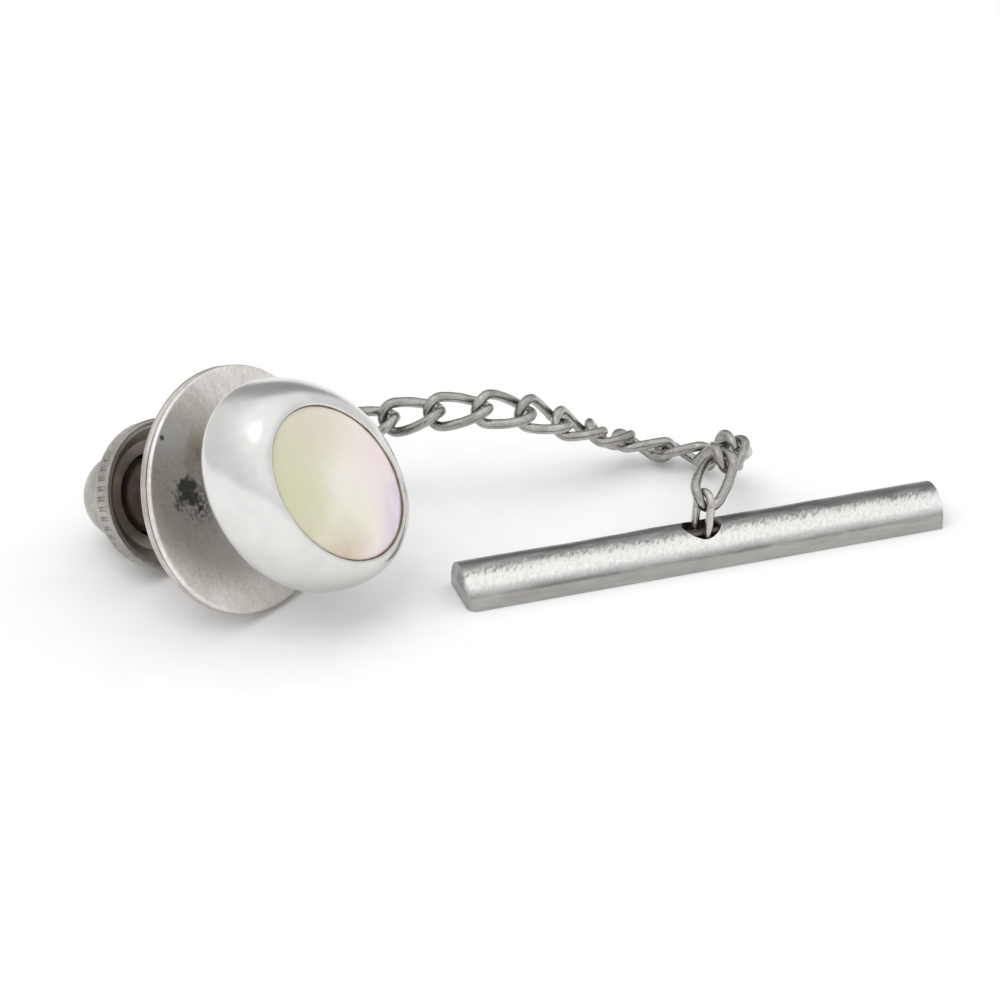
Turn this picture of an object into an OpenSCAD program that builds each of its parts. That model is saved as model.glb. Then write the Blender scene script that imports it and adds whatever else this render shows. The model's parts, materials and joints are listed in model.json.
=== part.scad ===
// Tie tack: an oval stone in a polished bezel on a sharp pin, a ball-lock clutch with a broad disc,
// and a curb chain that ends in a small hollow bar. Millimetres, +Z up, lying on z = 0 as on a table,
// with the origin under the middle of the whole piece.

/* [Head] */
// Longest width of the bezel
head_l = 10.3; // [10:0.1:10.6]
// Shortest width of the bezel
head_w = 7.95; // [7.8:0.05:8.2]
// Turn of the oval about the pin
head_turn = -54; // [-90:1:90]
// Gap round the stone in its pocket
stone_play = 0.02; // [0.01:0.01:0.05]
// Diameter of the pin
pin_d = 1; // [0.96:0.01:1.02]
// Distance from the disc's front face to the pin's tip
pin_reach = 8.2; // [7.6:0.1:8.2]

/* [Clutch] */
// Diameter of the broad disc
disc_d = 10.2; // [9.8:0.1:10.6]
// Diameter over the cap's knurls
cap_d = 6.36; // [6.3:0.01:6.38]
// Grooves in the cap's knurled band
cap_teeth = 46; // [36:2:52]
// Radius of each locking ball
ball_r = 0.35; // [0.33:0.01:0.35]
// Turn of the pin to the right of the viewer's line
pin_yaw = 53.5; // [50:0.5:56]
// Rise of the pin towards the stone, so that the disc and the cap both rest on the table
pin_tilt = 21.2; // [21:0.1:22]

/* [Chain] */
// Distance between one link and the next
pitch = 2.05; // [2.04:0.01:2.08]
// Diameter of the chain's wire
wire_d = 0.44; // [0.40:0.01:0.44]
// Half the width of a link, at the middle of its wire
link_half = 0.64; // [0.62:0.01:0.66]
// Turn of a link's ends out of its flat, minus for a left-hand twist
link_turn = -50; // [-52:1:-45]

/* [Bar] */
// Length of the bar
bar_l = 21.6; // [18:0.1:24]
// Width of the bar
bar_w = 2.45; // [2.4:0.05:2.8]
// Height of the bar's crest
bar_h = 1.6; // [1.6:0.05:1.8]
// Diameter of the hole in the crest
bar_hole_d = 1.6; // [1.5:0.05:1.7]

/* [Hidden] */

// middle of the whole piece in plan, seen from the middle of the disc's front face
middle = [11.2, 2.91];

// clutch, along the pin: 0 is the disc's front face and the stone's side is positive
disc_r = disc_d / 2;
plate_t = 0.22;
bead_r = 0.16;
bead_z = -plate_t - 0.08 - bead_r;
disc_z = (disc_r - bead_r) * cos(pin_tilt) - bead_z * sin(pin_tilt) + bead_r;
neck_r = 1.15;
dish_z = -1.85;
pin_r = pin_d / 2;
bore_r = 0.55;
ball_z = -5.35;
ball_ring = pin_r + 0.02 + ball_r;
cone_slope = 12;
cage_r = 0.84;
cage_end = -8.5;
cage_seat = -8.1;
flange_front = -5.95;
flange_back = -6.15;
cone_front = -4.65;
chamber_end = -7.45;
cap_r = cap_d / 2;
cap_wall = 0.24;
cap_rim = 0.1;
shell_r = cap_r - cap_rim - cap_wall;
cap_front = -4.85;
groove_r = 0.08;
dome_z = -7.15;
dome_r = 1.9;

// chain
ring_z = -2.8;
ring_r = 1.75;
ring_off = 0.32;
wire_r = wire_d / 2;
play = 0.14;
hook = wire_r + play / 2;
link_half_l = pitch / 2 + hook;
end_pitch = 1.8;
end_wire_r = 0.18;
end_half = 0.5;
end_play = 0.22;
end_half_l = end_pitch / 2 + end_wire_r + end_play / 2;

// bar
bar_wall = 0.3;
bar_side = 0.55;
bar_yaw = 18.5;
hole_shift = 0.06;
corner_r = 0.45;
end_wall = 1.2;
anchor_r = 0.22;
anchor_l = 4;

silver = [0.90, 0.90, 0.89];
nickel = [0.62, 0.60, 0.57];
dull_nickel = [0.55, 0.53, 0.50];
steel = [0.70, 0.71, 0.72];
nacre = [0.88, 0.87, 0.79];

// ---- placing ----

module on_table() {
    translate([-middle.x, -middle.y, 0]) children();
}

// the clutch's own frame: +Z along the pin to the stone, +X level, +Y up
module on_clutch() {
    on_table() translate([0, 0, disc_z]) rotate([0, 90 - pin_tilt, pin_yaw - 90]) rotate([0, 0, 90])
        children();
}

function pin_dir() = [sin(pin_yaw) * cos(pin_tilt), -cos(pin_yaw) * cos(pin_tilt), sin(pin_tilt)];
function level_dir() = [cos(pin_yaw), sin(pin_yaw), 0];

// ---- ovals, for the bezel and the stone ----

oval_steps = 64;

function oval_ring(row) = [for (k = [0:oval_steps - 1])
    let (a = 360 * k / oval_steps) [row[0] * cos(a), row[1] * sin(a), row[2]]];

// a body through rows of [half length, half width, height], closed by flat ends
module oval_body(rows) {
    n = oval_steps;
    m = len(rows);
    points = [for (row = rows) each oval_ring(row)];
    sides = [for (i = [0:m - 2], k = [0:n - 1])
        let (a = i * n + k, b = i * n + (k + 1) % n)
        each [[a, a + n, b + n], [a, b + n, b]]];
    low = [for (k = [0:n - 1]) k];
    high = [for (k = [n - 1:-1:0]) (m - 1) * n + k];
    polyhedron(points, concat(sides, [low], [high]), convexity = 4);
}

// the same with the last row joined to the first, which leaves the middle open
module oval_tube(rows) {
    n = oval_steps;
    m = len(rows);
    points = [for (row = rows) each oval_ring(row)];
    sides = [for (i = [0:m - 1], k = [0:n - 1])
        let (j = (i + 1) % m, l = (k + 1) % n)
        each [[i * n + k, j * n + k, j * n + l], [i * n + k, j * n + l, i * n + l]]];
    polyhedron(points, sides, convexity = 6);
}

function head_row(inset, z) = [head_l / 2 - inset, head_w / 2 - inset, z];

module on_head() {
    on_clutch() rotate([0, 0, head_turn]) children();
}

head_low = 2.2;
girth_z = 3.12;
lip_z = 5.5;
lip_inset = 1.22;
back_inset = 0.95;
pocket_inset = 1.05;
floor_z = 4.3;
ledge = 0.55;
stone_side = 5.12;
stone_rise = 0.8;

module bezel() {
    outer_back = [for (a = [90:-15:15])
        head_row(back_inset * (1 - cos(a)), girth_z - (girth_z - head_low) * sin(a))];
    outer_front = [for (a = [0:7.5:90])
        head_row(lip_inset * (1 - cos(a)), girth_z + (lip_z - girth_z) * sin(a))];
    pocket = [head_row(lip_inset, lip_z - 0.08), head_row(pocket_inset, lip_z - 0.2),
        head_row(pocket_inset, floor_z)];
    under = [head_row(pocket_inset + ledge, floor_z - 0.05), head_row(pocket_inset + ledge, floor_z - 0.35),
        head_row(0.75, floor_z - 0.7), head_row(0.6, girth_z), head_row(back_inset, head_low + 0.4)];
    color(silver) on_head() oval_tube(concat(outer_back, outer_front, pocket, under));
}

module pearl() {
    inset = pocket_inset + stone_play;
    half = [head_l / 2 - inset, head_w / 2 - inset];
    dome = [for (a = [0:7.5:82.5])
        [half.x * cos(a), half.y * cos(a), stone_side + stone_rise * sin(a)]];
    color(nacre) on_head() oval_body(concat([[half.x, half.y, floor_z + 0.02]], dome));
}

module head_back() {
    inset = back_inset + 0.02;
    color(silver) on_head() oval_body([head_row(inset, head_low + 0.02), head_row(inset, head_low + 0.37)]);
}

module pin_base() {
    color(steel) on_clutch() translate([0, 0, head_low - 0.28]) difference() {
        cylinder(h = 0.3, r = 1.3, $fn = 64);
        translate([0, 0, -0.1]) cylinder(h = 0.5, r = pin_r, $fn = 48);
    }
}

module pin_post() {
    point = 0.5;
    color(steel) on_clutch() rotate_extrude($fn = 48) polygon([
        [0, head_low + 0.02], [pin_r, head_low + 0.02], [pin_r, point - pin_reach],
        [0.12, -pin_reach], [0, -pin_reach]]);
}

// ---- clutch ----

// points of a shallow bow from a to b, raised by rise at its middle
function bow(a, b, rise, steps = 8) =
    let (d = b - a, side = [-d.y, d.x] / norm(d))
    [for (k = [0:steps]) let (t = k / steps) a + d * t + side * (4 * rise * t * (1 - t))];

// points of an arc about c, from one angle to another
function arc(c, r, from, to, steps = 12) =
    [for (k = [0:steps]) let (a = from + (to - from) * k / steps) c + r * [cos(a), sin(a)]];

module front_plate() {
    edge = plate_t / 2;
    hole = bore_r + 0.05;
    color(nickel) on_clutch() rotate_extrude($fn = 96) polygon(concat(
        [[hole, 0], [hole, -plate_t]], arc([disc_r - edge, -edge], edge, -90, 90)));
}

module back_plate() {
    wall = 0.2;
    flange = disc_r - 2 * bead_r;
    outside = bow([flange - 0.1, bead_z - bead_r + 0.04], [1.7, dish_z - wall], -0.3);
    inside = bow([1.7, dish_z], [flange - 0.6, -plate_t - wall], 0.3);
    bead = arc([disc_r - bead_r, bead_z], bead_r, 150, -150, 20);
    color(nickel) on_clutch() rotate_extrude($fn = 96) polygon(concat(
        [[flange, -plate_t]], bead, outside, [[neck_r, dish_z - wall], [neck_r, dish_z]],
        inside, [[flange - 0.6, -plate_t]]));
}

module clutch_barrel() {
    wide = 1.58;
    chamber = 1.38;
    shoulder = -4.3;
    flare_r = 1.6;
    flare_t = 0.2;
    mouth_r = 1;
    end_z = chamber_end - 0.25;
    cone_top = ball_ring + (ball_r + 0.02) / cos(cone_slope) + (ball_z - cone_front) * tan(cone_slope);
    cone_back = cone_front - (chamber - cone_top) / tan(cone_slope);
    color(steel) on_clutch() rotate_extrude($fn = 72) polygon([
        [bore_r, dish_z + flare_t], [flare_r, dish_z + flare_t], [flare_r, dish_z], [neck_r, dish_z],
        [neck_r, shoulder], [wide, shoulder - 0.1], [wide, end_z + 0.2], [wide - 0.12, end_z],
        [mouth_r, end_z], [mouth_r, chamber_end], [chamber, chamber_end],
        [chamber, cone_back], [cone_top, cone_front], [bore_r, cone_front]]);
}

module ball_cage() {
    tip_z = cone_front - 0.1;
    flange_r = 1.28;
    color(dull_nickel) on_clutch() difference() {
        rotate_extrude($fn = 72) polygon([
            [bore_r, tip_z], [cage_r, tip_z], [cage_r, flange_front], [flange_r, flange_front],
            [flange_r, flange_back], [cage_r, flange_back], [cage_r, cage_end], [bore_r, cage_end]]);
        for (k = [0:2]) rotate([0, 0, 90 + 120 * k]) translate([0, 0, ball_z])
            rotate([0, 90, 0]) cylinder(h = 1.5, r = ball_r + 0.05, $fn = 32);
    }
}

module ball(k) {
    color(steel) on_clutch() rotate([0, 0, 90 + 120 * k]) translate([ball_ring, 0, ball_z])
        sphere(r = ball_r, $fn = 40);
}

module ball_a() { ball(0); }
module ball_b() { ball(1); }
module ball_c() { ball(2); }

module knurled_cap() {
    band_front = cap_front - 0.13;
    band_back = -5.62;
    band_low = cap_r - 0.1;
    lean = atan((cap_r - band_low) / (band_front - band_back));
    groove_l = band_front - band_back - 0.04;
    inner_dome = dome_r - cap_wall;
    boss = 1.12;
    mouth = arc([cap_r - 0.02 - cap_rim, cap_front - cap_rim], cap_rim, 180, 0);
    back_of_band = [[band_low, band_back], [band_low - 0.06, -5.72], [band_low - 0.4, -5.98]];
    to_dome = [[2.1, -6.38], [1.92, -6.6]];
    dome = [for (a = [15:5:90]) [dome_r * cos(a), dome_z - dome_r * sin(a)]];
    color(dull_nickel) on_clutch() difference() {
        rotate_extrude($fn = 96) polygon(concat(
            [[0, cap_front - 1]], mouth, [[cap_r, band_front]], back_of_band, to_dome, dome));
        rotate_extrude($fn = 96) polygon(concat(
            [[0, cap_front + 1], [shell_r, cap_front + 1], [shell_r, -5.3],
             [shell_r - 0.22, -5.75], [1.74, -6.35]],
            [for (a = [0:9:45]) [inner_dome * cos(a), dome_z - inner_dome * sin(a)]],
            [[boss, -8.36], [boss, cage_seat], [cage_r, cage_seat], [cage_r, cage_end], [0, cage_end]]));
        for (k = [0:cap_teeth - 1]) rotate([0, 0, 360 * k / cap_teeth])
            translate([cap_r + 0.03, 0, band_front]) rotate([0, 180 + lean, 0])
            cylinder(h = groove_l, r = groove_r, $fn = 16);
    }
}

module cap_liner() {
    outer = shell_r - 0.01;
    color(nickel) on_clutch() rotate_extrude($fn = 96) polygon([
        [outer, -5.0], [outer, -5.2], [2.4, -5.62], [1.76, -5.72], [1.76, -5.56], [2.32, -5.48]]);
}

// ---- wire sweeps ----

// a closed body along rings of points; loop joins the last ring to the first
module sweep(rings, loop) {
    n = len(rings);
    m = len(rings[0]);
    points = [for (ring = rings) each ring];
    sides = [for (i = [0:(loop ? n : n - 1) - 1], k = [0:m - 1])
        let (a = i * m, b = (i + 1) % n * m, l = (k + 1) % m)
        each [[a + k, b + l, b + k], [a + k, a + l, b + l]]];
    ends = loop ? [] : [[for (k = [m - 1:-1:0]) k], [for (k = [0:m - 1]) (n - 1) * m + k]];
    polyhedron(points, concat(sides, ends), convexity = 8);
}

function unit(v) = v / norm(v);

// a round of points about p, square to the direction d, starting near up
function wire_round(p, d, up, r, steps) =
    let (t = unit(d), s = unit(cross(t, up)), u = cross(s, t))
    [for (k = [0:steps - 1]) let (a = 360 * k / steps) p + r * (cos(a) * u + sin(a) * s)];

module clutch_spring() {
    turns = 4;
    coil_r = 1.12;
    spring_wire = 0.08;
    low = chamber_end + spring_wire;
    high = flange_back - spring_wire;
    steps = 24 * turns;
    function at(k) = let (a = 360 * turns * k / steps)
        [coil_r * cos(a), coil_r * sin(a), high + (low - high) * k / steps];
    color(steel) on_clutch() sweep([for (k = [0:steps])
        wire_round(at(k), at(k + 0.5) - at(k - 0.5), [0, 0, 1], spring_wire, 6)], false);
}

module chain_ring() {
    color(nickel) on_clutch() translate([ring_off, 0, ring_z])
        rotate_extrude($fn = 72) translate([ring_r, 0]) circle(r = wire_r, $fn = 24);
}

// ---- chain ----

// a point of a link's outline, u of the way round: straight sides and round ends
function outline(u, half_l, half) =
    let (side = 2 * (half_l - half), tip = PI * half, s = u * 2 * (side + tip))
    s < side ? [s - side / 2, half]
    : s < side + tip ? let (a = (s - side) / tip * 180) [side / 2 + half * sin(a), half * cos(a)]
    : s < 2 * side + tip ? [side / 2 - (s - side - tip), -half]
    : let (a = (s - 2 * side - tip) / tip * 180) [-side / 2 - half * sin(a), -half * cos(a)];

// the same point with the link's ends turned out of its flat by turn
function turned_outline(u, half_l, half, turn) =
    let (p = outline((u + 1) % 1, half_l, half), a = turn * p.x / half_l)
    [p.x, -p.y * sin(a), p.y * cos(a)];

module wire_link(half_l, half, r, turn, steps = 36, sides = 8) {
    sweep([for (k = [0:steps - 1])
        let (u = k / steps, p = turned_outline(u, half_l, half, turn), a = turn * p.x / half_l)
        wire_round(p, turned_outline(u + 0.01, half_l, half, turn)
            - turned_outline(u - 0.01, half_l, half, turn), [0, cos(a), sin(a)], r, sides)], true);
}

// each link's heading from +X, its climb, and the roll of its flat from upright to level, in degrees
headings = [50, 39, 28, 7, -9, 4, 21, 29, 31, 43, 6, -25, -56, -98, -107, -117];
climbs = [-2, 0, 3, 13, 13, 3, -15, -29, -29, -31, -18, 4, 27, 42, 9, -30];
rolls = [-1, 22, 44, 55, 55, 58, 49, 56, 80, -82, -58, -50, -55, -79, -77, -72];
end_heading = -107;
end_climb = -74;
end_roll = 48;

function heading_dir(h, c) = [cos(c) * cos(h), cos(c) * sin(h), sin(c)];

// where the chain hooks on its ring, and the points where each link hooks on the next
chain_start = [0, 0, disc_z] + ring_z * pin_dir() + (ring_off + ring_r - hook) * level_dir();
function joint_at(i) = i == 0 ? chain_start
    : joint_at(i - 1) + pitch * heading_dir(headings[i - 1], climbs[i - 1]);
chain_end = joint_at(16) + end_pitch * heading_dir(end_heading, end_climb);

module link(i) {
    color(dull_nickel) on_table() translate((joint_at(i) + joint_at(i + 1)) / 2)
        rotate([0, -climbs[i], headings[i]]) rotate([-rolls[i], 0, 0])
        wire_link(link_half_l, link_half, wire_r, link_turn);
}

module end_link() {
    color(dull_nickel) on_table() translate((joint_at(16) + chain_end) / 2)
        rotate([0, -end_climb, end_heading]) rotate([-end_roll, 0, 0])
        wire_link(end_half_l, end_half, end_wire_r, 0);
}

// ---- bar ----

module on_bar() {
    on_table() translate([chain_end.x, chain_end.y, 0]) rotate([0, 0, bar_yaw]) children();
}

// half the loaf-shaped section and its mirror, with room inside by wall
function loaf(wall) =
    let (w = bar_w / 2 - wall, rise = bar_h - bar_side - wall)
    concat([[-w, 0]], [for (a = [180:-7.5:0]) [w * cos(a), bar_side + rise * sin(a)]], [[w, 0]]);

// the bar's outline in plan: a square left end with a small round at its front corner
bar_x0 = -bar_l / 2 + hole_shift;
bar_x1 = bar_l / 2 + hole_shift;
corner_at = [bar_x0 + corner_r, corner_r - bar_w / 2];
bar_plan = concat([[bar_x1, -bar_w / 2], [bar_x1, bar_w / 2], [bar_x0, bar_w / 2]],
    [for (a = [180:15:270]) corner_at + corner_r * [cos(a), sin(a)]]);

module loaf_run(wall, x0, x1) {
    translate([x0, 0, 0]) rotate([90, 0, 90]) linear_extrude(height = x1 - x0) polygon(loaf(wall));
}

module bar_shell() {
    color(nickel) on_bar() difference() {
        intersection() {
            loaf_run(0, bar_x0, bar_x1);
            translate([0, 0, -1]) linear_extrude(height = bar_h + 2) polygon(bar_plan);
        }
        translate([0, 0, -0.001]) loaf_run(bar_wall, bar_x0 + end_wall, bar_x1 - bar_wall);
        cylinder(h = bar_h + 1, r = bar_hole_d / 2, $fn = 48);
    }
}

module bar_back() {
    w = bar_w - 2 * bar_wall;
    color(nickel) on_bar() translate([bar_x0 + end_wall, -w / 2, 0])
        cube([bar_l - end_wall - bar_wall, w, bar_wall]);
}

module anchor_pin() {
    color(steel) on_bar() translate([-anchor_l / 2, 0, bar_h - bar_wall - anchor_r - 0.01])
        rotate([0, 90, 0]) cylinder(h = anchor_l, r = anchor_r, $fn = 32);
}

bezel();
pearl();
head_back();
pin_post();
pin_base();
front_plate();
back_plate();
clutch_barrel();
knurled_cap();
cap_liner();
ball_cage();
ball_a();
ball_b();
ball_c();
clutch_spring();
chain_ring();
link(0);  // link_01
link(1);  // link_02
link(2);  // link_03
link(3);  // link_04
link(4);  // link_05
link(5);  // link_06
link(6);  // link_07
link(7);  // link_08
link(8);  // link_09
link(9);  // link_10
link(10);  // link_11
link(11);  // link_12
link(12);  // link_13
link(13);  // link_14
link(14);  // link_15
link(15);  // link_16
end_link();  // link_17
bar_shell();
bar_back();
anchor_pin();
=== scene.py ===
"""Looks of the tie tack: finer meshes in place of the CAD nodes, procedural materials, light and camera.

Shapes are worked out in millimetres and scaled to metres as each mesh is made.
"""

import json
import math

import bmesh
import bpy
import numpy as np
from mathutils import Matrix, Vector, noise


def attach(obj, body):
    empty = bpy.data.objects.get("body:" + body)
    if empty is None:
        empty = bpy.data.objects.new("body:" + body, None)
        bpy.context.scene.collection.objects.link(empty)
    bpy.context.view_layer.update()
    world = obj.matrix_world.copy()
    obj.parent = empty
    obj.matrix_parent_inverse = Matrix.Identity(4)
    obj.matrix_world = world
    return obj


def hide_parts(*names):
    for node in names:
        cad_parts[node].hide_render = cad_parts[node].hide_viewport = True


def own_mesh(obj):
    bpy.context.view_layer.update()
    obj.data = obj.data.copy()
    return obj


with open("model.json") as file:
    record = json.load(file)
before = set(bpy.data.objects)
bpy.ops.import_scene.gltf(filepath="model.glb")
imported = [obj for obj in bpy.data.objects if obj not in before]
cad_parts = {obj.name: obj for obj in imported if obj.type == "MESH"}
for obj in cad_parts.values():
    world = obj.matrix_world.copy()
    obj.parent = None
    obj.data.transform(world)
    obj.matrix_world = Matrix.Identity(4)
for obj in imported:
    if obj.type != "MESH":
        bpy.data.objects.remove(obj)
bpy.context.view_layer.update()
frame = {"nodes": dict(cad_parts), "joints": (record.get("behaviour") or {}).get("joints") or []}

MM = 0.001
JOINTS = {j["name"]: j for j in frame["joints"]}


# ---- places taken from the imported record, in millimetres ----

def unit(v):
    return v / np.linalg.norm(v)


def joint_pos(name):
    return np.array(JOINTS[name]["pos_m"]) / MM


def joint_axis(name):
    return unit(np.array(JOINTS[name]["axis"], float))


RING_DEPTH = 2.8      # the swivel ring's distance behind the disc's front face
PIN = joint_axis("ring_swivel")
DISC = joint_pos("ring_swivel") + RING_DEPTH * PIN
LEVEL = unit(np.array([-PIN[1], PIN[0], 0.0]))
UP = np.cross(PIN, LEVEL)


def on_pin(points, turn=0.0):
    """Points given as x, y, and distance along the pin, turned about the pin by turn degrees."""
    p = np.asarray(points, float)
    c, s = math.cos(math.radians(turn)), math.sin(math.radians(turn))
    x, y = p[:, 0] * c - p[:, 1] * s, p[:, 0] * s + p[:, 1] * c
    return DISC + np.outer(x, LEVEL) + np.outer(y, UP) + np.outer(p[:, 2], PIN)


# ---- meshes ----

SHARP_DEGREES = 38


def solid_mesh(name, points, faces):
    """A closed mesh, points in millimetres, with every face turned outwards."""
    mesh = bpy.data.meshes.new(name)
    mesh.from_pydata([tuple(p) for p in np.asarray(points) * MM], [], faces)
    mesh.validate()
    shape = bmesh.new()
    shape.from_mesh(mesh)
    bmesh.ops.recalc_face_normals(shape, faces=shape.faces)
    shape.to_mesh(mesh)
    shape.free()
    return mesh


def add_mesh(name, points, faces, body, material, replaces):
    """A smooth-shaded mesh that rides on a body, in place of a CAD node if one is named.
    Edges past SHARP_DEGREES stay crisp."""
    mesh = solid_mesh(name, points, faces)
    mesh.shade_smooth()
    mesh.set_sharp_from_angle(angle=math.radians(SHARP_DEGREES))
    mesh.materials.append(material)
    obj = bpy.data.objects.new(name, mesh)
    bpy.context.scene.collection.objects.link(obj)
    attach(obj, body)
    if replaces:
        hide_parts(replaces)
    return obj


def grid_faces(rows, columns, loop_rows=False, loop_columns=True):
    """Quads between neighbouring rows of points, closed round the columns and, if asked, the rows."""
    faces = []
    for i in range(rows if loop_rows else rows - 1):
        for k in range(columns if loop_columns else columns - 1):
            j, l = (i + 1) % rows, (k + 1) % columns
            faces.append((i * columns + k, i * columns + l, j * columns + l, j * columns + k))
    return faces


def end_caps(rows, columns):
    """The faces that close the first and the last row of a grid."""
    return [tuple(range(columns - 1, -1, -1)), tuple(range((rows - 1) * columns, rows * columns))]


def flipped(faces):
    """The same faces, turned over."""
    return [f[::-1] for f in faces]


def arc(centre, radius, start, end, steps):
    """Points of a circle's arc, angles in degrees."""
    return [(centre[0] + radius * math.cos(math.radians(a)), centre[1] + radius * math.sin(math.radians(a)))
            for a in np.linspace(start, end, steps)]


def rounded(profile, radius, steps=4):
    """A closed profile with each corner cut by a small round."""
    out = []
    p = [np.array(q, float) for q in profile]
    for i, q in enumerate(p):
        a, b = p[i - 1] - q, p[(i + 1) % len(p)] - q
        la, lb = np.linalg.norm(a), np.linalg.norm(b)
        if min(la, lb) < 1e-6:
            continue
        r = min(radius, la * 0.4, lb * 0.4)
        start, end = q + a / la * r, q + b / lb * r
        for t in np.linspace(0, 1, steps):
            out.append(tuple((1 - t) ** 2 * start + 2 * t * (1 - t) * q + t ** 2 * end))
    return out


def lathe(name, profile, body, material, steps=160, ripple=None, closed=True):
    """A profile of (radius, distance along the pin) turned about the pin, with end caps if it isn't closed.
    ripple(radius, along, degrees) changes the radius, and can be left out."""
    rows = []
    for r, t in profile:
        for k in range(steps):
            a = 360 * k / steps
            rr = ripple(r, t, a) if ripple else r
            rows.append((rr * math.cos(math.radians(a)), rr * math.sin(math.radians(a)), t))
    faces = grid_faces(len(profile), steps, loop_rows=closed)
    if not closed:
        faces += end_caps(len(profile), steps)
    return add_mesh(name, on_pin(rows), faces, body, material, name)


HEAD_LONG, HEAD_WIDE, HEAD_TURN = 5.15, 3.975, -54.0
OVAL_STEPS = 220


def oval_row(inset, along):
    """One ring of the head's oval, set in from its outline."""
    return [((HEAD_LONG - inset) * math.cos(a), (HEAD_WIDE - inset) * math.sin(a), along)
            for a in np.linspace(0, 2 * math.pi, OVAL_STEPS, endpoint=False)]


def sweep(name, centre, radius, body, material, flat, sides=16, loop=True, rough=0.0, replaces=None):
    """A wire along a centre line. flat(i) gives a direction its cross-section is measured from, and rough is
    how uneven it is, as a share of its radius."""
    c = np.asarray(centre, float)
    n = len(c)
    tangent = np.roll(c, -1, 0) - np.roll(c, 1, 0) if loop else np.gradient(c, axis=0)
    points = []
    for i in range(n):
        t = unit(tangent[i])
        side = unit(np.cross(t, flat(i)))
        up = np.cross(side, t)
        for k in range(sides):
            a = 2 * math.pi * k / sides
            d = math.cos(a) * up + math.sin(a) * side
            bump = rough * noise.noise(Vector(c[i] * 2.3 + d * 1.4))
            points.append(c[i] + d * radius * (1 + bump))
    faces = grid_faces(n, sides, loop_rows=loop)
    if not loop:
        faces += end_caps(n, sides)
    return add_mesh(name, points, flipped(faces), body, material, replaces)


# ---- the bar's sizes, which its material also uses ----

BAR_L, BAR_W, BAR_H, BAR_SIDE, BAR_WALL, BAR_YAW = 21.6, 2.45, 1.6, 0.55, 0.3, 18.5
HOLE_SHIFT, HOLE_R, CORNER_R, END_WALL = 0.06, 0.8, 0.45, 1.2
SHOULDER = math.radians(16)     # where the crest's curve starts, which leaves a crisp line above the side


# ---- materials ----

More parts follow.
